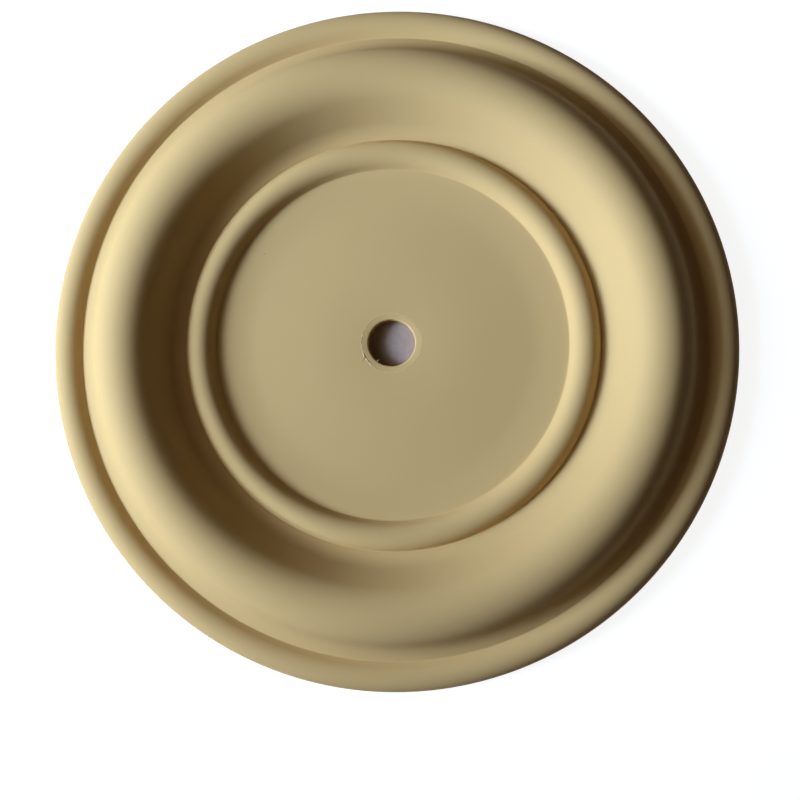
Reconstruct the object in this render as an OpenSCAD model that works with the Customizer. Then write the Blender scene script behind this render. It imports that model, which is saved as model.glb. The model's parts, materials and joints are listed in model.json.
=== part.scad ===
// Diaphragm of an air-operated double-diaphragm pump, moulded in one piece.
// It is a sheet of even thickness, turned about Z: a flat disc that two plates
// clamp, a raised roll that flexes, and a thick bead that the casing grips.
// The origin is on the axis, in the plane that the disc and the bead lie on.
// Lengths are in millimetres, angles in degrees from the horizontal.

/* [Centre hole] */
// Diameter of the hole for the clamping stud
bore_d = 19; // [16:0.5:22]
// Width of the dished ring around the hole
lip_w = 2.75; // [2:0.25:5]
// Fall of the dished ring towards the hole
lip_drop = 0.3; // [0.2:0.05:0.8]

/* [Sheet] */
// Thickness of the disc and of the roll's wall
sheet_t = 4.7; // [4:0.1:5.4]

/* [Rim bead] */
// Diameter over the bead, the part's widest
outer_d = 280; // [250:1:310]
// Width of the bead, from its edge to the crease beside the roll
bead_w = 12.6; // [11:0.1:14]
// Steepness of the bead's inner slope at the crease
bead_in = 38; // [32:1:42]
// Radius over the bead, smaller if the slope or the edge is too short for it
bead_r = 6.7; // [5:0.1:8]
// Radius of the bead's lower edge
bead_foot_r = 0.8; // [0.4:0.1:1.2]

/* [Roll] */
// Width of the roll's outer half, from the crease to the crest
roll_out_w = 20.3; // [18:0.1:22.4]
// Height of the roll's crest above the disc
roll_h = 16.3; // [14.6:0.1:18]
// Radius over the roll's crest
crest_r = 13.5; // [12:0.1:15]
// Steepness of the roll's inner flank
flank_in = 50; // [44:1:56]
// Steepness of the roll's outer flank
flank_out = 60; // [54:1:66]
// Steepness of the sheet where it runs into the bead
strip = 29; // [26:1:32]
// Radius where the disc turns up into the inner flank, smaller if the flank is too short
foot_in_r = 11.8; // [8:0.1:16]
// Radius where the outer flank eases off towards the bead, smaller if it lacks room
foot_out_r = 12; // [6:0.1:16]

/* [Ring rib] */
// Distance from the roll's crest to the rib's crest
rib_gap = 28.9; // [26:0.1:34]
// Height of the rib's crest above the disc
rib_h = 4.7; // [4:0.1:5.4]
// Radius over the rib's crest
rib_r = 6; // [5:0.1:7]
// Steepness of the rib's inner wall
rib_in = 56; // [48:1:64]
// Steepness of the rib's outer wall
rib_out = 62; // [54:1:70]
// Radius where the disc turns up into the rib, smaller if the rib's wall is too short
rib_foot_r = 1; // [0.5:0.1:2]

/* [Hidden] */
$fa = 3;
$fs = 0.4;

rubber = "#cdbb8e";
// Turn of the outline between two points of an arc
arc_step = 4;
// How far the rib and the bead reach into the sheet, so that they merge with it
merge = 1.5;
// How far the sheet runs on inside the bead
tuck = 3;
// Share of a straight line that an arc beside it may take up
spare = 0.95;

bore_r = bore_d / 2;
outer_r = outer_d / 2;
// Circles of the crease, of the roll's crest and of the rib's crest
crease_r = outer_r - bead_w;
roll_r = crease_r - roll_out_w;
rib_mid_r = roll_r - rib_gap;

// Roll, upper side: where the straight lines of its flanks would meet.
// The crease is as high as the sheet is there, so its lower side ends below it.
crest_centre = [roll_r, sheet_t + roll_h - crest_r];
flank_in_p = crest_centre + crest_r * normal(flank_in);
flank_out_p = crest_centre + crest_r * normal(-flank_out);
crease = [crease_r, sheet_t / cos(strip)];
foot_in = meet([0, sheet_t], 0, flank_in_p, flank_in);
apex = meet(flank_in_p, flank_in, flank_out_p, -flank_out);
foot_out = meet(flank_out_p, -flank_out, crease, -strip);
foot_in_room = norm(flank_in_p - foot_in);
foot_out_room = min(norm(flank_out_p - foot_out), norm(crease - foot_out));
foot_in_fit = min(foot_in_r, spare * foot_in_room / tan(flank_in / 2));
foot_out_fit = min(foot_out_r, spare * foot_out_room / tan((flank_out - strip) / 2));

// Roll, lower side: the same lines, one thickness further down
under_in_p = flank_in_p - sheet_t * normal(flank_in);
under_out_p = flank_out_p - sheet_t * normal(-flank_out);
under_end = [crease_r, 0];
under_foot_in = meet([0, 0], 0, under_in_p, flank_in);
under_apex = meet(under_in_p, flank_in, under_out_p, -flank_out);
under_foot_out = meet(under_out_p, -flank_out, under_end, -strip);

// Rib: the lines that its crest circle touches
rib_centre = [rib_mid_r, sheet_t + rib_h - rib_r];
rib_in_p = rib_centre + rib_r * normal(rib_in);
rib_out_p = rib_centre + rib_r * normal(-rib_out);
rib_foot = meet([0, sheet_t], 0, rib_in_p, rib_in);
rib_apex = meet(rib_in_p, rib_in, rib_out_p, -rib_out);
rib_sunk = meet([0, sheet_t - merge], 0, rib_out_p, -rib_out);
rib_foot_fit = min(rib_foot_r, spare * norm(rib_in_p - rib_foot) / tan(rib_in / 2));

// Bead: its inner slope runs up to a line over the widest diameter
bead_corner = meet(crease, bead_in, [outer_r, 0], 90);
bead_room = min(norm(bead_corner - crease), bead_corner[1] - bead_foot_r);
bead_fit = min(bead_r, spare * bead_room * tan((90 - bead_in) / 2));

// Upward normal of a line that rises at an angle
function normal(angle) = [-sin(angle), cos(angle)];

function heading(angle) = [cos(angle), sin(angle)];

// Point where the line through p at angle a meets the line through q at angle b
function meet(p, a, q, b) =
    p + heading(a) * cross(q - p, heading(b)) / cross(heading(a), heading(b));

function unit(v) = v / norm(v);

// A corner is [x, y, radius]. These give its neighbours' directions and its arc.
function spot(c) = [c[0], c[1]];
function back(list, i) =
    unit(spot(list[(i + len(list) - 1) % len(list)]) - spot(list[i]));
function ahead(list, i) = unit(spot(list[(i + 1) % len(list)]) - spot(list[i]));
function half_angle(list, i) = acos(back(list, i) * ahead(list, i)) / 2;
function trim(list, i) = list[i][2] / tan(half_angle(list, i));
function arc_start(list, i) = spot(list[i]) + back(list, i) * trim(list, i);
function arc_end(list, i) = spot(list[i]) + ahead(list, i) * trim(list, i);
function arc_centre(list, i) =
    spot(list[i])
    + unit(back(list, i) + ahead(list, i)) * list[i][2] / sin(half_angle(list, i));
// Signed turn from one bearing to another, the short way round
function turn(a, b) = (b - a + 540) % 360 - 180;
function bearing(v) = atan2(v[1], v[0]);
// Points along a corner's arc, at most one arc_step apart
function arc_points(list, i) =
    let(
        c = arc_centre(list, i),
        first = bearing(arc_start(list, i) - c),
        sweep = turn(first, bearing(arc_end(list, i) - c)),
        steps = ceil(abs(sweep) / arc_step)
    )
    [for (k = [0 : steps]) c + list[i][2] * heading(first + sweep * k / steps)];

// Closed outline with each corner rounded to its own radius
module rounded_outline(list) {
    polygon([
        for (i = [0 : len(list) - 1])
        for (p = list[i][2] > 0 ? arc_points(list, i) : [spot(list[i])])
        p
    ]);
}

// Corner at a point, with its radius
function corner(p, r = 0) = [p[0], p[1], r];

module sheet_section() {
    strip_end = meet(crease, -strip, [crease_r + tuck, 0], 90);
    rounded_outline([
        corner([bore_r, 0]),
        corner(under_foot_in, foot_in_fit + sheet_t),
        corner(under_apex, crest_r - sheet_t),
        corner(under_foot_out, foot_out_fit + sheet_t),
        corner(under_end),
        corner([crease_r + tuck, 0]),
        corner(strip_end),
        corner(foot_out, foot_out_fit),
        corner(apex, crest_r),
        corner(foot_in, foot_in_fit),
        corner([bore_r + lip_w, sheet_t]),
        corner([bore_r, sheet_t - lip_drop])
    ]);
}

module rib_section() {
    rib_start = rib_foot - [rib_foot_fit, 0];
    rounded_outline([
        corner(rib_start - [0, merge]),
        corner(rib_sunk),
        corner(rib_apex, rib_r),
        corner(rib_foot, rib_foot_fit),
        corner(rib_start)
    ]);
}

module bead_section() {
    rounded_outline([
        corner(under_end + [merge, 0]),
        corner([outer_r, 0], bead_foot_r),
        corner(bead_corner, bead_fit),
        corner(crease - merge * heading(bead_in))
    ]);
}

module diaphragm() {
    color(rubber)
    rotate_extrude()
    union() {
        sheet_section();
        rib_section();
        bead_section();
    }
}

diaphragm();
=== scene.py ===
import json
import math

import bmesh
import bpy
from bpy.props import FloatProperty, FloatVectorProperty, IntProperty, PointerProperty
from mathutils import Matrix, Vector


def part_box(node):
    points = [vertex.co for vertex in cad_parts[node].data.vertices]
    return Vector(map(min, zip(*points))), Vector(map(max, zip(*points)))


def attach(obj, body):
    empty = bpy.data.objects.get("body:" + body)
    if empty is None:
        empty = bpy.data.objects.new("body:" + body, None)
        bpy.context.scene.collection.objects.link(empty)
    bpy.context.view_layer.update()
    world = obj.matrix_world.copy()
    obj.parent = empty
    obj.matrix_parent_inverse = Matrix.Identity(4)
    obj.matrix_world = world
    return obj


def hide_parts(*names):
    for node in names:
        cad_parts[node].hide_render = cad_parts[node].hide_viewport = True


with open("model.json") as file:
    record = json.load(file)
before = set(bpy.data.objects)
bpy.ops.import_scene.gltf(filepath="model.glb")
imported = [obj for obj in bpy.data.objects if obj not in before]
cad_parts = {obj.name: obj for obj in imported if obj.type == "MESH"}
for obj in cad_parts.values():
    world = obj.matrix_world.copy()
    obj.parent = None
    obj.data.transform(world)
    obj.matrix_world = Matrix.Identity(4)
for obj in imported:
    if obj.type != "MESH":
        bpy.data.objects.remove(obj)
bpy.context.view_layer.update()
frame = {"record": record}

bl_info = {
    "name": "Pump diaphragm",
    "version": (1, 0, 0),
    "blender": (4, 5, 0),
    "location": "3D View > Sidebar > Diaphragm",
    "description": "Moulded rubber pump diaphragm with its mould flash, on a plain stage",
    "category": "Add Mesh",
}

CAD_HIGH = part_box("diaphragm")[1]
MM = 0.001
STUD_BORE = next(m for m in frame["record"]["mounts"] if m["name"] == "stud_bore")

# Torn flakes of flash at the hole: bearing and heading in degrees, then in millimetres the
# distance from the axis, the height above the disc, the length, the width and the lift
FLAKES = (
    (173.0, 92.0, 12.40, 0.02, 2.7, 0.26, 0.06),
    (204.5, 88.0, 12.38, 0.04, 2.3, 0.40, 0.12),
    (210.5, 6.0, 13.60, 0.02, 2.3, 0.30, 0.08),
    (224.0, 90.0, 12.35, 0.02, 2.8, 0.26, 0.05),
    (237.0, 90.0, 12.30, 0.01, 2.4, 0.20, 0.03),
    (232.5, 180.0, 9.15, -0.55, 0.75, 0.34, 0.06),
)

# Longest step along the section, and the distance at which points of the turned grids merge
LONGEST_STEP = 3.2 * MM
WELD = 0.001 * MM

# Patterns of the turned meshes, with scales per metre, and how far the flash line wanders
UNEVEN_FACES = {"Scale": 22.0, "Detail": 1.5, "Roughness": 0.5}
RAGGED_LINE = {"Scale": 240.0, "Detail": 3.0, "Roughness": 0.6}
WANDERING_LINE = {"Scale": 130.0, "Detail": 2.0, "Roughness": 0.5}
WANDER = 0.7 * MM
FLASH_SEGMENTS = 300
FLASH_SIDES = 8
# Share of the sheet's thickness below which the faces stay even
EVEN_BELOW = 0.7
# Range of the ragged pattern over which the flash line grows from its thinnest to full
GAP_RANGE = (0.38, 0.66)
THINNEST = 0.25

# Patterns of the rubber: scales per metre, and for specks their radius as a share of a cell
# and the share of the cells that have none
CLOUD_SCALE = 16.0
CLOUD_RANGE = (0.35, 0.65)
SPECK_CORE = 0.4
PALE_SPECKS = (85.0, 0.028, 0.72)
DARK_SPECKS = (60.0, 0.020, 0.80)
GRAIN_SCALE = 1900.0
GRAIN_DEPTH = 0.05 * MM
GRAIN_STRENGTH = 0.6
ROUGH_SCALE = 260.0
SMOOTHEST, ROUGHEST = 0.58, 0.72
# Scale of the patches of the flash's pale colour, which is partly a painted highlight
TORN_HIGHLIGHT_SCALE = 900.0
TORN_ROUGHNESS = 0.6
SPECULAR = 0.08

# Floor: half its width, its distance below the part, how far its greyish middle below the
# hole reaches, where its shadow begins and ends to fade into white, and its shades
FLOOR_HALF = 6.0
FLOOR_GAP = 0.2 * MM
UNDER_HOLE = 0.02
FADE_START, FADE_END = 0.25, 0.6
MOTTLE_SCALE = 420.0
MOTTLE_DARK = 0.86
FLOOR_GLOW = 0.9
FLOOR_SHADE = (0.2, 0.2, 0.2, 1.0)
WHITE = (1.0, 1.0, 1.0, 1.0)


# Properties


def length(name, description, millimetres):
    return FloatProperty(
        name=name, description=description, default=millimetres * MM, min=0.0,
        unit="LENGTH", precision=5,
    )


def angle(name, description, degrees):
    return FloatProperty(
        name=name, description=description, default=math.radians(degrees), unit="ROTATION",
    )


def colour(name, description, rgb):
    return FloatVectorProperty(
        name=name, description=description, default=rgb, size=3, min=0.0, max=1.0,
        subtype="COLOR",
    )


def place(name, description, metres):
    return FloatVectorProperty(
        name=name, description=description, default=metres, size=3,
        subtype="TRANSLATION", unit="LENGTH",
    )


def amount(name, description, value):
    return FloatProperty(name=name, description=description, default=value, min=0.0)


class DiaphragmSizes(bpy.types.PropertyGroup):
    """Sizes of the moulding, turned about Z"""

    outer_d: length(
        "Outer diameter", "Diameter over the bead", 2 * CAD_HIGH.x / MM)
    bore_d: length(
        "Bore", "Diameter of the hole for the clamping stud", 2 * STUD_BORE["dims"]["r_mm"])
    lip_w: length("Lip width", "Width of the dished ring around the hole", 2.75)
    lip_drop: length("Lip drop", "Fall of the dished ring towards the hole", 0.3)
    sheet_t: length("Sheet", "Thickness of the disc and of the roll's wall", 4.7)
    crown: length("Crown", "How far the disc's highest ring stands above the sheet", 0.49)
    sink: length("Sink", "How far the disc sinks towards the hole", 0.35)
    bow_start: length("Bow start", "From the axis to where the disc begins to fall", 25.0)
    bow_fall: angle("Bow fall", "Steepness of the disc where it falls outwards", 1.92)
    dip: length("Dip", "From the axis to the dip before the rib", 59.7)
    dip_w: length("Dip width", "Width of the dip's rounding", 9.7)
    rise: angle("Rise", "Steepness of the disc where it rises to the rib", 3.73)
    bead_w: length("Bead width", "From the bead's edge to the crease beside the roll", 12.6)
    bead_in: angle("Bead slope", "Steepness of the bead's inner slope", 38)
    bead_r: length("Bead radius", "Radius over the bead", 6.7)
    bead_foot_r: length("Bead foot", "Radius of the bead's lower edge", 0.8)
    roll_out_w: length("Roll width", "From the crease to the roll's crest", 20.3)
    roll_h: length("Roll height", "Height of the roll's crest above the disc", 16.3)
    crest_r: length("Crest radius", "Radius over the roll's crest", 13.5)
    flank_in: angle("Inner flank", "Steepness of the roll's inner flank", 50)
    flank_out: angle("Outer flank", "Steepness of the roll's outer flank", 60)
    strip: angle("Strip", "Steepness of the sheet where it runs into the bead", 29)
    foot_in_r: length("Inner foot", "Radius where the disc turns up into the flank", 11.8)
    foot_out_r: length("Outer foot", "Radius where the flank eases off to the bead", 12)
    rib_gap: length("Rib distance", "From the roll's crest to the rib's crest", 28.9)
    rib_h: length("Rib height", "Height of the rib's crest above the disc", 4.7)
    rib_r: length("Rib radius", "Radius over the rib's crest", 6)
    rib_in: angle("Rib inner wall", "Steepness of the rib's inner wall", 56)
    rib_out: angle("Rib outer wall", "Steepness of the rib's outer wall", 62)
    rib_foot_r: length("Rib foot", "Radius where the disc turns up into the rib", 1)
    edge_r: length("Hole edge", "Rounding of the hole's edges", 0.7)
    crease_r: length("Crease", "Rounding in the bottom of the creases", 0.5)
    uneven: length("Unevenness", "How far the moulded faces sink here and there", 0.05)
    segments: IntProperty(
        name="Segments",
        description="Steps of the body around the axis, which set its count of triangles",
        default=380, min=24, max=385,
    )


class FlashSizes(bpy.types.PropertyGroup):
    """Sizes of the mould flash around the hole's dished ring"""

    thick: length("Thickness", "Thickness of the flash line", 0.07)
    low: amount("Flatness", "Height of the flash line as a share of its width", 0.5)
    worst: angle("Worst place", "Bearing about the axis where most flash is left", 203)
    swell: amount("Swell", "How much thicker the flash is at its worst place", 2.0)
    seed: FloatProperty(
        name="Seed", description="Pattern of the gaps in the flash line", default=2.7)


class RubberColours(bpy.types.PropertyGroup):
    """Colours of the moulded rubber"""

    tan: colour("Tan", "Main colour of the rubber", (0.572, 0.393, 0.179))
    olive: colour("Olive", "Colour of its cooler clouds", (0.559, 0.389, 0.178))
    pale: colour("Pale", "Colour of pale specks", (0.62, 0.50, 0.30))
    dark: colour("Dark", "Colour of dark specks", (0.30, 0.21, 0.09))
    # Pale flash colour: partly thin, ripped rubber, partly a painted highlight that makes the
    # flash line read bright
    torn_highlight: colour("Torn", "Colour of thin torn flash", (0.80, 0.70, 0.48))


class StageSettings(bpy.types.PropertyGroup):
    """Camera and light of the stage"""

    camera_place: place(
        "Camera place", "Where the camera stands", (0.01916, -0.04856, 0.36715))
    camera_turn: FloatVectorProperty(
        name="Camera turn", description="How the camera is turned", size=3,
        default=(math.radians(3.9703), math.radians(2.4879), 0.0), subtype="EULER",
    )
    camera_lens: FloatProperty(
        name="Lens", description="Focal length in millimetres", default=40.422, min=1.0)
    key_place: place("Key light place", "Where the key light stands", (-1.303, -0.112, 0.684))
    key_aim: place(
        "Key light aim", "Point that the key light is turned to", (0.136, 0.186, 0.0))
    key_size: length("Key light size", "Width of the key light", 524.4)
    key_spread: angle("Key light spread", "Angle that the key light fills", 53.3)
    key_power: amount("Key light power", "Power in watts", 4.381)
    key_tint: colour("Key light tint", "Colour of the key light", (0.582, 0.768, 1.000))
    soft_place: place(
        "Soft light place", "Where the soft light stands", (-1.110, -0.011, 0.677))
    soft_size: length("Soft light size", "Width of the soft light", 1044.9)
    soft_power: amount("Soft light power", "Power in watts", 7.025)
    soft_tint: colour("Soft light tint", "Colour of the soft light", (1.000, 0.952, 0.854))
    sky: colour("Sky", "Colour of the light from all round", (1.000, 0.609, 0.205))
    sky_strength: amount("Sky strength", "Strength of the light from all round", 0.0463)
    sky_lean: amount("Sky lean", "How much of that light is missing on the +X side", 0.8)
    floor: colour("Floor", "Colour that the floor throws back", (0.40, 0.36, 0.34))
    floor_under: colour(
        "Floor below", "Colour of the floor below the hole", (0.38, 0.30, 0.28))


# Outline of the moulding's section, as points (distance from the axis, height)


def heading(angle):
    return Vector((math.cos(angle), math.sin(angle)))


def normal(angle):
    return Vector((-math.sin(angle), math.cos(angle)))


def cross(a, b):
    return a.x * b.y - a.y * b.x


def meet(p, a, q, b):
    """Point where the line through p at angle a meets the line through q at angle b"""
    return p + heading(a) * (cross(q - p, heading(b)) / cross(heading(a), heading(b)))


def arc(centre, radius, first, last, step):
    """Points of an arc, from one bearing to another"""
    count = max(2, math.ceil(abs(last - first) / step))
    return [centre + radius * heading(first + (last - first) * i / count)
            for i in range(count + 1)]


def bearing(v):
    return math.atan2(v.y, v.x)


def rounded(before, corner, after, radius, step):
    """Points of the arc that rounds a corner"""
    to_before = (before - corner).normalized()
    to_after = (after - corner).normalized()
    half = math.acos(max(-1.0, min(1.0, to_before.dot(to_after)))) / 2
    middle = (to_before + to_after).normalized()
    centre = corner + middle * (radius / math.sin(half))
    first = bearing(corner + to_before * (radius / math.tan(half)) - centre)
    last = bearing(corner + to_after * (radius / math.tan(half)) - centre)
    turn = (last - first + 3 * math.pi) % (2 * math.pi) - math.pi
    return arc(centre, radius, first, first + turn, step)


def body_outline(s):
    """Closed outline of the section: along the top from the hole outwards, then back below"""
    # Turn between two points of an arc
    step = math.radians(4.0)
    # Share of the way to the hole's ring that the bow's arc takes up
    bow_share = 0.9
    # A little more room than the groove's rounding needs
    clear = 1.02
    t = s.sheet_t
    bore = s.bore_d / 2
    outer = s.outer_d / 2
    crease = Vector((outer - s.bead_w, t / math.cos(s.strip)))
    roll_x = crease.x - s.roll_out_w
    rib_x = roll_x - s.rib_gap

    # Roll, upper side
    crest_c = Vector((roll_x, t + s.roll_h - s.crest_r))
    in_p = crest_c + s.crest_r * normal(s.flank_in)
    out_p = crest_c + s.crest_r * normal(-s.flank_out)
    foot_in = meet(Vector((0, t)), 0, in_p, s.flank_in)
    apex = meet(in_p, s.flank_in, out_p, -s.flank_out)
    foot_out = meet(out_p, -s.flank_out, crease, -s.strip)

    # Roll, lower side, one thickness further down
    under_in_p = in_p - t * normal(s.flank_in)
    under_out_p = out_p - t * normal(-s.flank_out)
    under_end = Vector((crease.x, 0))
    under_in = meet(Vector((0, 0)), 0, under_in_p, s.flank_in)
    under_apex = meet(under_in_p, s.flank_in, under_out_p, -s.flank_out)
    under_out = meet(under_out_p, -s.flank_out, under_end, -s.strip)

    # Disc, which falls a little to both sides of a ring and rises again before the rib
    lip = Vector((bore + s.lip_w, t + s.crown - s.sink))
    brink = lip - Vector((s.lip_w, s.lip_drop))
    bow = Vector((s.bow_start, t + s.crown))
    dip = meet(bow, -s.bow_fall, Vector((s.dip, 0)), math.pi / 2)
    bow_turn = s.bow_fall + bearing(bow - lip)
    bow_r = bow_share * (bow.x - lip.x) / math.tan(bow_turn / 2)
    dip_r = s.dip_w / 2 / math.tan((s.bow_fall + s.rise) / 2)

    # Rib, and the groove where its outer wall runs into the roll's foot
    rib_c = Vector((rib_x, t + s.rib_h - s.rib_r))
    rib_in_p = rib_c + s.rib_r * normal(s.rib_in)
    rib_out_p = rib_c + s.rib_r * normal(-s.rib_out)
    rib_foot = meet(dip, s.rise, rib_in_p, s.rib_in)
    rib_apex = meet(rib_in_p, s.rib_in, rib_out_p, -s.rib_out)
    foot_start = foot_in.x - s.foot_in_r * math.tan(s.flank_in / 2)
    foot_c = Vector((foot_start, t + s.foot_in_r))
    along = heading(-s.rib_out)
    to_c = foot_c - rib_out_p
    reach = to_c.dot(along)
    off = s.foot_in_r ** 2 - (to_c - along * reach).length_squared
    groove = rib_out_p + along * (reach + math.sqrt(off) * (1 if reach < 0 else -1))
    if groove.x < foot_start:
        groove = meet(Vector((0, t)), 0, rib_out_p, -s.rib_out)
    groove_slope = math.asin(max(0.0, (groove.x - foot_start) / s.foot_in_r))
    groove_trim = s.crease_r * math.tan((s.rib_out + groove_slope) / 2) * clear
    foot_first = groove_slope + groove_trim / s.foot_in_r

    bead_corner = meet(crease, s.bead_in, Vector((outer, 0)), math.pi / 2)
    low_in = Vector((bore, 0))
    low_out = Vector((outer, 0))

    points = []
    points += rounded(low_in, brink, lip, s.edge_r, step * 4)
    points += rounded(brink, lip, bow, s.edge_r, step)
    points += rounded(lip, bow, dip, bow_r, step / 8)
    points += rounded(bow, dip, rib_foot, dip_r, step / 4)
    points += rounded(dip, rib_foot, rib_apex, s.rib_foot_r, step * 3)
    points += rounded(rib_foot, rib_apex, groove, s.rib_r, step)
    points += rounded(rib_apex, groove, groove + heading(groove_slope), s.crease_r, step * 4)
    points += arc(foot_c, s.foot_in_r, foot_first - math.pi / 2,
                  s.flank_in - math.pi / 2, step)
    points += rounded(foot_in, apex, foot_out, s.crest_r, step)
    points += rounded(apex, foot_out, crease, s.foot_out_r, step)
    points += rounded(foot_out, crease, bead_corner, s.crease_r, step * 4)
    points += rounded(crease, bead_corner, low_out, s.bead_r, step)
    points += rounded(bead_corner, low_out, under_end, s.bead_foot_r, step * 4)
    points += rounded(low_out, under_end, under_out, s.crease_r, step * 2)
    points += rounded(under_end, under_out, under_apex, s.foot_out_r + t, step * 1.5)
    points += rounded(under_out, under_apex, under_in, s.crest_r - t, step * 1.5)
    points += rounded(under_apex, under_in, low_in, s.foot_in_r + t, step * 1.5)
    points += rounded(under_in, low_in, brink, s.edge_r, step * 4)
    return points


def even_out(points, longest):
    """The same closed outline, with its long straight stretches cut into steps"""
    made = []
    for p, q in zip(points, points[1:] + points[:1]):
        count = max(1, math.ceil((q - p).length / longest))
        made += [p.lerp(q, i / count) for i in range(count)]
    return made


# Node trees


def add_node(tree, kind, inputs=None, **settings):
    """A node with its settings, and with its inputs set or linked by name or place"""
    made = tree.nodes.new(kind)
    for name, value in settings.items():
        setattr(made, name, value)
    for name, value in (inputs or {}).items():
        if isinstance(value, bpy.types.NodeSocket):
            tree.links.new(value, made.inputs[name])
        else:
            made.inputs[name].default_value = value
    return made


def math_node(tree, operation, *values):
    return add_node(
        tree, "ShaderNodeMath", dict(enumerate(values)), operation=operation).outputs[0]


def whole_node(tree, operation, *values):
    return add_node(
        tree, "FunctionNodeIntegerMath", dict(enumerate(values)),
        operation=operation).outputs[0]


def new_tree(name, inputs):
    """An empty Geometry Nodes tree with named inputs, and the inputs' identifiers"""
    tree = bpy.data.node_groups.new(name, "GeometryNodeTree")
    ids = {}
    for label, kind in inputs:
        socket = tree.interface.new_socket(label, in_out="INPUT", socket_type=kind)
        ids[label] = socket.identifier
    tree.interface.new_socket("Geometry", in_out="OUTPUT", socket_type="NodeSocketGeometry")
    return tree, ids, tree.nodes.new("NodeGroupInput").outputs


def turned_grid(tree, section, segments):
    """A grid whose rows are the section's points and whose columns stand around the axis"""
    count = add_node(
        tree, "GeometryNodeAttributeDomainSize", {"Geometry": section},
        component="MESH").outputs["Point Count"]
    rows = whole_node(tree, "ADD", count, 1)
    grid = add_node(tree, "GeometryNodeMeshGrid", {
        "Vertices X": whole_node(tree, "ADD", segments, 1), "Vertices Y": rows})
    index = tree.nodes.new("GeometryNodeInputIndex").outputs[0]
    column = whole_node(tree, "DIVIDE_FLOOR", index, rows)
    row = whole_node(tree, "MODULO", whole_node(tree, "MODULO", index, rows), count)
    place = tree.nodes.new("GeometryNodeInputPosition").outputs[0]
    sample = add_node(
        tree, "GeometryNodeSampleIndex",
        {"Geometry": section, "Value": place, "Index": row},
        data_type="FLOAT_VECTOR", domain="POINT")
    point = add_node(tree, "ShaderNodeSeparateXYZ", {0: sample.outputs[0]}).outputs
    turn = math_node(
        tree, "MULTIPLY", math_node(tree, "DIVIDE", column, segments), 2 * math.pi)
    return grid.outputs["Mesh"], point["X"], point["Z"], turn


def turned_point(tree, radius, height, turn):
    return add_node(tree, "ShaderNodeCombineXYZ", {
        0: math_node(tree, "MULTIPLY", radius, math_node(tree, "COSINE", turn)),
        1: math_node(tree, "MULTIPLY", radius, math_node(tree, "SINE", turn)),
        2: height,
    }).outputs[0]


def close_tree(tree, mesh, position, material):
    """Move the grid's points, weld its seams and give it its material"""
    placed = add_node(
        tree, "GeometryNodeSetPosition", {"Geometry": mesh, "Position": position})
    welded = add_node(
        tree, "GeometryNodeMergeByDistance",
        {"Geometry": placed.outputs[0], "Distance": WELD})
    smooth = add_node(tree, "GeometryNodeSetShadeSmooth", {"Geometry": welded.outputs[0]})
    real = add_node(
        tree, "GeometryNodeRealizeInstances", {"Geometry": smooth.outputs[0]})
    dressed = add_node(
        tree, "GeometryNodeSetMaterial",
        {"Geometry": real.outputs[0], "Material": material})
    add_node(tree, "NodeGroupOutput", {0: dressed.outputs[0]})


def body_tree():
    """Tree that turns the section into the body, with faces that are a little uneven"""
    tree, ids, given = new_tree("Turned body", [
        ("Section", "NodeSocketGeometry"), ("Segments", "NodeSocketInt"),
        ("Unevenness", "NodeSocketFloat"), ("Flat below", "NodeSocketFloat"),
        ("Material", "NodeSocketMaterial"),
    ])
    mesh, radius, height, turn = turned_grid(tree, given["Section"], given["Segments"])
    place = turned_point(tree, radius, height, turn)
    clouds = add_node(tree, "ShaderNodeTexNoise", {"Vector": place, **UNEVEN_FACES})
    above = math_node(tree, "GREATER_THAN", height, given["Flat below"])
    sink = math_node(
        tree, "MULTIPLY", math_node(tree, "MULTIPLY", clouds.outputs[0], above),
        given["Unevenness"])
    sunk = turned_point(tree, radius, math_node(tree, "SUBTRACT", height, sink), turn)
    close_tree(tree, mesh, sunk, given["Material"])
    return tree, ids


def flash_tree():
    """Tree that turns a small section into a ragged ring, thick at one bearing"""
    tree, ids, given = new_tree("Ragged ring", [
        ("Section", "NodeSocketGeometry"), ("Segments", "NodeSocketInt"),
        ("Ring radius", "NodeSocketFloat"), ("Ring height", "NodeSocketFloat"),
        ("Worst place", "NodeSocketFloat"), ("Swell", "NodeSocketFloat"),
        ("Seed", "NodeSocketFloat"), ("Material", "NodeSocketMaterial"),
    ])
    mesh, radius, height, turn = turned_grid(tree, given["Section"], given["Segments"])
    around = turned_point(tree, given["Ring radius"], given["Seed"], turn)
    ragged = add_node(
        tree, "ShaderNodeTexNoise", {"Vector": around, **RAGGED_LINE}).outputs[0]
    wander = add_node(
        tree, "ShaderNodeTexNoise", {"Vector": around, **WANDERING_LINE}).outputs[0]
    near = math_node(
        tree, "COSINE", math_node(tree, "SUBTRACT", turn, given["Worst place"]))
    close_by = math_node(tree, "POWER", math_node(tree, "MAXIMUM", near, 0.0), 3.0)
    swell = math_node(tree, "MULTIPLY", close_by, given["Swell"])
    broken = add_node(
        tree, "ShaderNodeMapRange",
        {"Value": ragged, "From Min": GAP_RANGE[0], "From Max": GAP_RANGE[1],
         "To Min": THINNEST, "To Max": 1.0},
        clamp=True).outputs[0]
    size = math_node(
        tree, "MULTIPLY", broken, math_node(tree, "ADD", swell, 1.0))
    drift = math_node(
        tree, "MULTIPLY", math_node(tree, "SUBTRACT", wander, 0.5),
        math_node(tree, "MULTIPLY", math_node(tree, "ADD", swell, 0.3), WANDER))
    ring_x = math_node(tree, "ADD", given["Ring radius"], drift)
    x = math_node(
        tree, "ADD", ring_x, math_node(
            tree, "MULTIPLY", size,
            math_node(tree, "SUBTRACT", radius, given["Ring radius"])))
    z = math_node(
        tree, "ADD", given["Ring height"], math_node(
            tree, "MULTIPLY", size,
            math_node(tree, "SUBTRACT", height, given["Ring height"])))
    close_tree(tree, mesh, turned_point(tree, x, z, turn), given["Material"])
    return tree, ids


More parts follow.
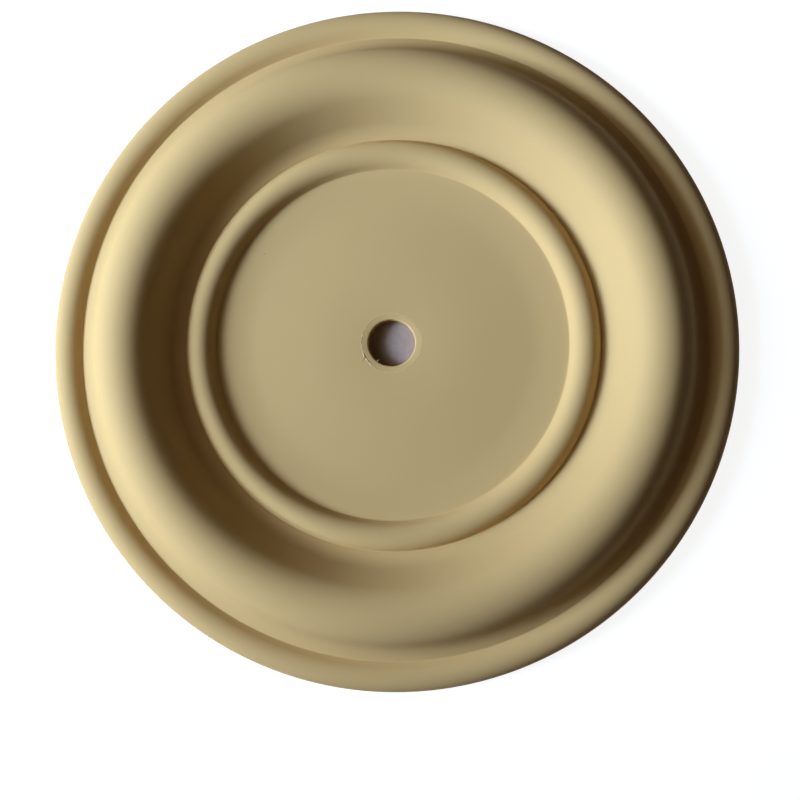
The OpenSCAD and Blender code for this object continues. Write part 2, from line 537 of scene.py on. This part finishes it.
def made_by_tree(name, points, tree, ids, values):
    """A plain mesh object, made from section points by a Geometry Nodes tree"""
    section = bpy.data.meshes.new(name + "_section")
    section.from_pydata([(p.x, 0.0, p.y) for p in points], [], [])
    piece = bpy.data.objects.new(name, section)
    bpy.context.scene.collection.objects.link(piece)
    modifier = piece.modifiers.new("Turn", "NODES")
    modifier.node_group = tree
    for label, value in values.items():
        modifier[ids[label]] = value
    depsgraph = bpy.context.evaluated_depsgraph_get()
    mesh = bpy.data.meshes.new_from_object(
        piece.evaluated_get(depsgraph), preserve_all_data_layers=True, depsgraph=depsgraph)
    piece.modifiers.remove(modifier)
    piece.data = mesh
    mesh.name = name
    bpy.data.meshes.remove(section)
    face_outwards(mesh)
    return piece


def face_outwards(mesh):
    made = bmesh.new()
    made.from_mesh(mesh)
    bmesh.ops.recalc_face_normals(made, faces=made.faces)
    made.to_mesh(mesh)
    made.free()
    if not mesh.polygons:
        raise RuntimeError("no faces in " + mesh.name)


def add_flake(made, place, along, long, wide, lift):
    """A small flake of flash: a tapered strip that rises towards its free end"""
    side = Vector((-along.y, along.x, 0.0))
    up = Vector((0.0, 0.0, 1.0))
    stations = 6
    thin = 0.6
    rings = []
    for i in range(stations + 1):
        u = i / stations
        middle = place + along * (long * (u - 0.5)) + up * (lift * u * u)
        # Widest in the middle, narrower but not sharp at both ends
        half = 0.5 * wide * (0.2 + math.sin(math.pi * (0.12 + 0.8 * u)))
        corners = (side * half, up * half * thin, side * -half, up * half * -thin)
        rings.append([made.verts.new(middle + c) for c in corners])
    for one, two in zip(rings, rings[1:]):
        for k in range(4):
            made.faces.new((one[k], one[(k + 1) % 4], two[(k + 1) % 4], two[k]))
    made.faces.new(rings[0][::-1])
    made.faces.new(rings[-1])


# Finishes


def new_material(name):
    material = bpy.data.materials.new(name)
    material.use_nodes = True
    material.node_tree.nodes.clear()
    return material, material.node_tree


def noise(tree, where, scale, detail, rough=0.5):
    return add_node(
        tree, "ShaderNodeTexNoise",
        {"Vector": where, "Scale": scale, "Detail": detail, "Roughness": rough}).outputs[0]


def spread(tree, value, low, high, to_low=0.0, to_high=1.0):
    return add_node(tree, "ShaderNodeMapRange", {
        0: value, 1: low, 2: high, 3: to_low, 4: to_high}, clamp=True).outputs[0]


def blend_colour(tree, factor, first, second):
    """Mix of two colours, each a socket or a property's value"""
    made = add_node(tree, "ShaderNodeMix", data_type="RGBA")
    tree.links.new(factor, made.inputs[0])
    for place, value in ((6, first), (7, second)):
        if isinstance(value, bpy.types.NodeSocket):
            tree.links.new(value, made.inputs[place])
        else:
            made.inputs[place].default_value = (*value, 1.0)
    return made.outputs[2]


def specks(tree, where, scale, radius, rarity):
    """Mask of small spots, one in some of the cells of a scattered grid"""
    cells = add_node(
        tree, "ShaderNodeTexVoronoi", {"Vector": where, "Scale": scale, "Randomness": 1.0})
    spot = spread(tree, cells.outputs["Distance"], radius, radius * SPECK_CORE)
    pick = add_node(tree, "ShaderNodeSeparateColor", {0: cells.outputs["Color"]}).outputs[0]
    return math_node(tree, "MULTIPLY", spot, math_node(tree, "GREATER_THAN", pick, rarity))


def moulded_rubber():
    """Matte tan rubber with a fine mould grain, faint clouds and a few specks"""
    c = bpy.context.scene.rubber_colours
    material, tree = new_material("moulded_rubber_finish")
    where = add_node(tree, "ShaderNodeTexCoord").outputs["Object"]

    clouds = spread(tree, noise(tree, where, CLOUD_SCALE, 3.0), *CLOUD_RANGE)
    skin = blend_colour(tree, clouds, c.tan, c.olive)
    skin = blend_colour(tree, specks(tree, where, *PALE_SPECKS), skin, c.pale)
    skin = blend_colour(tree, specks(tree, where, *DARK_SPECKS), skin, c.dark)

    grain = noise(tree, where, GRAIN_SCALE, 2.0, 0.6)
    rough = spread(
        tree, noise(tree, where, ROUGH_SCALE, 2.0), 0.3, 0.7, SMOOTHEST, ROUGHEST)
    bump = add_node(tree, "ShaderNodeBump", {
        "Strength": GRAIN_STRENGTH, "Distance": GRAIN_DEPTH, "Height": grain})
    shader = add_node(tree, "ShaderNodeBsdfPrincipled", {
        "Base Color": skin, "Roughness": rough, "Specular IOR Level": SPECULAR,
        "Normal": bump.outputs[0]})
    add_node(tree, "ShaderNodeOutputMaterial", {"Surface": shader.outputs[0]})
    return material


def torn_rubber_with_highlight():
    """The same rubber where it is thin, paler and a little uneven in colour; the paleness is
    partly that of thin, ripped rubber and partly a painted highlight that makes the flash
    line read bright all round
    """
    c = bpy.context.scene.rubber_colours
    material, tree = new_material("torn_rubber_finish")
    where = add_node(tree, "ShaderNodeTexCoord").outputs["Object"]
    patches = spread(tree, noise(tree, where, TORN_HIGHLIGHT_SCALE, 2.0), *CLOUD_RANGE)
    # Pale flash colour in patches over the tan; the paleness is partly a painted highlight
    skin = blend_colour(tree, patches, c.torn_highlight, c.tan)
    shader = add_node(tree, "ShaderNodeBsdfPrincipled", {
        "Base Color": skin, "Roughness": TORN_ROUGHNESS, "Specular IOR Level": SPECULAR})
    add_node(tree, "ShaderNodeOutputMaterial", {"Surface": shader.outputs[0]})
    return material


def seen_ray(tree):
    """1 for rays that see a surface directly, in a mirror or through glass, else 0"""
    path = tree.nodes.new("ShaderNodeLightPath").outputs
    either = math_node(tree, "MAXIMUM", path["Is Camera Ray"], path["Is Glossy Ray"])
    return math_node(tree, "MAXIMUM", either, path["Is Transmission Ray"])


def pale_floor(stage):
    """White floor that keeps the shadow, plain and greyish below the hole"""
    material, tree = new_material("pale_floor")
    where = add_node(tree, "ShaderNodeTexCoord").outputs["Object"]
    far = add_node(
        tree, "ShaderNodeVectorMath", {0: where}, operation="LENGTH").outputs["Value"]
    outside = math_node(tree, "GREATER_THAN", far, UNDER_HOLE)
    mottle = spread(tree, noise(tree, where, MOTTLE_SCALE, 3.0), 0.3, 0.7)
    under = [MOTTLE_DARK * v for v in stage.floor_under]
    below = blend_colour(tree, mottle, under, stage.floor_under)
    ground = blend_colour(tree, outside, below, stage.floor)
    plain = add_node(tree, "ShaderNodeBsdfDiffuse", {"Color": ground})
    shade = add_node(tree, "ShaderNodeBsdfDiffuse", {"Color": FLOOR_SHADE})
    glow = add_node(tree, "ShaderNodeEmission", {"Color": WHITE, "Strength": FLOOR_GLOW})
    near = add_node(
        tree, "ShaderNodeAddShader", {0: shade.outputs[0], 1: glow.outputs[0]})
    white = add_node(tree, "ShaderNodeEmission", {"Color": WHITE, "Strength": 1.0})
    lit = add_node(tree, "ShaderNodeMixShader", {
        0: spread(tree, far, FADE_START, FADE_END), 1: near.outputs[0],
        2: white.outputs[0]})
    seen = math_node(tree, "MULTIPLY", seen_ray(tree), outside)
    mix = add_node(
        tree, "ShaderNodeMixShader", {0: seen, 1: plain.outputs[0], 2: lit.outputs[0]})
    add_node(tree, "ShaderNodeOutputMaterial", {"Surface": mix.outputs[0]})
    return material


# Pieces


def keep(piece, *nodes):
    """Fix a piece to the part's one body, and hide the nodes that it stands for"""
    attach(piece, "root")
    if nodes:
        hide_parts(*nodes)


class DIAPHRAGM_OT_body(bpy.types.Operator):
    """Turn the moulding's section into the diaphragm's body"""

    bl_idname = "diaphragm.body"
    bl_label = "Moulded body"

    def execute(self, context):
        sizes = context.scene.diaphragm_sizes
        tree, ids = body_tree()
        points = even_out(body_outline(sizes), LONGEST_STEP)
        body = made_by_tree("moulded_body", points, tree, ids, {
            "Segments": sizes.segments, "Unevenness": sizes.uneven,
            "Flat below": sizes.sheet_t * EVEN_BELOW, "Material": moulded_rubber()})
        keep(body, "diaphragm")
        return {"FINISHED"}


class DIAPHRAGM_OT_flash(bpy.types.Operator):
    """Leave a ragged line of mould flash on the outer edge of the hole's dished ring"""

    bl_idname = "diaphragm.flash"
    bl_label = "Mould flash"

    def execute(self, context):
        sizes = context.scene.diaphragm_sizes
        flash = context.scene.flash_sizes
        top = sizes.sheet_t + sizes.crown - sizes.sink
        ring = Vector((sizes.bore_d / 2 + sizes.lip_w, top))
        tree, ids = flash_tree()
        points = [ring + flash.thick * heading(2 * math.pi * i / FLASH_SIDES)
                  for i in range(FLASH_SIDES)]
        for p in points:
            p.y = ring.y + (p.y - ring.y) * flash.low
        # The flash line and flakes wear the pale flash rubber, which is partly a painted
        # highlight
        line = made_by_tree("mould_flash", points, tree, ids, {
            "Segments": FLASH_SEGMENTS, "Ring radius": ring.x, "Ring height": ring.y,
            "Worst place": flash.worst, "Swell": flash.swell, "Seed": flash.seed,
            "Material": torn_rubber_with_highlight()})
        self.leave_flakes(line.data, top)
        keep(line)
        return {"FINISHED"}

    @staticmethod
    def leave_flakes(mesh, top):
        """Torn flakes beside the ring, and a nib on the hole's edge"""
        made = bmesh.new()
        made.from_mesh(mesh)
        made.faces.ensure_lookup_table()
        finish = made.faces[0].material_index
        for turn, head, out, above, long, wide, lift in FLAKES:
            at = heading(math.radians(turn)) * out * MM
            along = heading(math.radians(turn + head)).to_3d()
            place = Vector((at.x, at.y, top + above * MM))
            add_flake(made, place, along, long * MM, wide * MM, lift * MM)
        bmesh.ops.recalc_face_normals(made, faces=made.faces)
        for face in made.faces:
            face.smooth = True
            face.material_index = finish
        made.to_mesh(mesh)
        made.free()


class DIAPHRAGM_OT_stage(bpy.types.Operator):
    """Set up the floor, the light and the camera"""

    bl_idname = "diaphragm.stage"
    bl_label = "Stage"

    @staticmethod
    def lamp(scene, name, where, aim, size, power, tint):
        """A round area light, turned to a point"""
        light = bpy.data.lights.new(name, "AREA")
        light.shape = "DISK"
        light.size = size
        light.energy = power
        light.color = tint
        stand = bpy.data.objects.new(name, light)
        stand.location = where
        beam = Vector(aim) - Vector(where)
        stand.rotation_euler = beam.to_track_quat("-Z", "Y").to_euler()
        scene.collection.objects.link(stand)
        return light

    def execute(self, context):
        scene = context.scene
        stage = scene.stage_settings
        scene.view_settings.view_transform = "Standard"

        half = FLOOR_HALF
        plane = bpy.data.meshes.new("floor")
        plane.from_pydata(
            [(-half, -half, 0), (half, -half, 0), (half, half, 0), (-half, half, 0)],
            [], [(0, 1, 2, 3)])
        plane.materials.append(pale_floor(stage))
        floor = bpy.data.objects.new("floor", plane)
        floor.location.z = -FLOOR_GAP
        scene.collection.objects.link(floor)

        key = self.lamp(
            scene, "key_light", stage.key_place, stage.key_aim, stage.key_size,
            stage.key_power, stage.key_tint)
        key.spread = stage.key_spread
        self.lamp(
            scene, "soft_light", stage.soft_place, (0.0, 0.0, 0.0), stage.soft_size,
            stage.soft_power, stage.soft_tint)

        view = bpy.data.cameras.new("camera")
        view.lens = stage.camera_lens
        view.sensor_width = 36.0
        camera = bpy.data.objects.new("camera", view)
        camera.location = stage.camera_place
        camera.rotation_euler = stage.camera_turn
        scene.collection.objects.link(camera)
        scene.camera = camera

        world = bpy.data.worlds.new("studio")
        world.use_nodes = True
        tree = world.node_tree
        tree.nodes.clear()
        way = add_node(tree, "ShaderNodeTexCoord").outputs["Generated"]
        to_x = add_node(tree, "ShaderNodeSeparateXYZ", {0: way}).outputs["X"]
        level = math_node(
            tree, "MULTIPLY_ADD", to_x, -stage.sky_lean * stage.sky_strength,
            stage.sky_strength)
        sky = add_node(tree, "ShaderNodeBackground", {
            "Color": (*stage.sky, 1.0), "Strength": level})
        white = add_node(tree, "ShaderNodeBackground", {"Color": WHITE, "Strength": 1.0})
        mix = add_node(tree, "ShaderNodeMixShader", {
            0: seen_ray(tree), 1: sky.outputs[0], 2: white.outputs[0]})
        add_node(tree, "ShaderNodeOutputWorld", {"Surface": mix.outputs[0]})
        scene.world = world
        return {"FINISHED"}


class DIAPHRAGM_PT_panel(bpy.types.Panel):
    """Sizes, colours and steps of the diaphragm"""

    bl_label = "Pump diaphragm"
    bl_idname = "DIAPHRAGM_PT_panel"
    bl_space_type = "VIEW_3D"
    bl_region_type = "UI"
    bl_category = "Diaphragm"

    def draw(self, context):
        for name in GROUPS:
            group = getattr(context.scene, name)
            box = self.layout.box()
            for prop in group.__annotations__:
                box.prop(group, prop)
        for operator in OPERATORS:
            self.layout.operator(operator.bl_idname)


GROUPS = {
    "diaphragm_sizes": DiaphragmSizes,
    "flash_sizes": FlashSizes,
    "rubber_colours": RubberColours,
    "stage_settings": StageSettings,
}
OPERATORS = (DIAPHRAGM_OT_body, DIAPHRAGM_OT_flash, DIAPHRAGM_OT_stage)


def register():
    for cls in (*GROUPS.values(), *OPERATORS, DIAPHRAGM_PT_panel):
        bpy.utils.register_class(cls)
    for name, group in GROUPS.items():
        setattr(bpy.types.Scene, name, PointerProperty(type=group))


def unregister():
    for name in GROUPS:
        delattr(bpy.types.Scene, name)
    for cls in (DIAPHRAGM_PT_panel, *OPERATORS, *reversed(GROUPS.values())):
        bpy.utils.unregister_class(cls)


def main():
    register()
    bpy.ops.diaphragm.body()
    bpy.ops.diaphragm.flash()
    bpy.ops.diaphragm.stage()


if __name__ == "__main__":
    main()
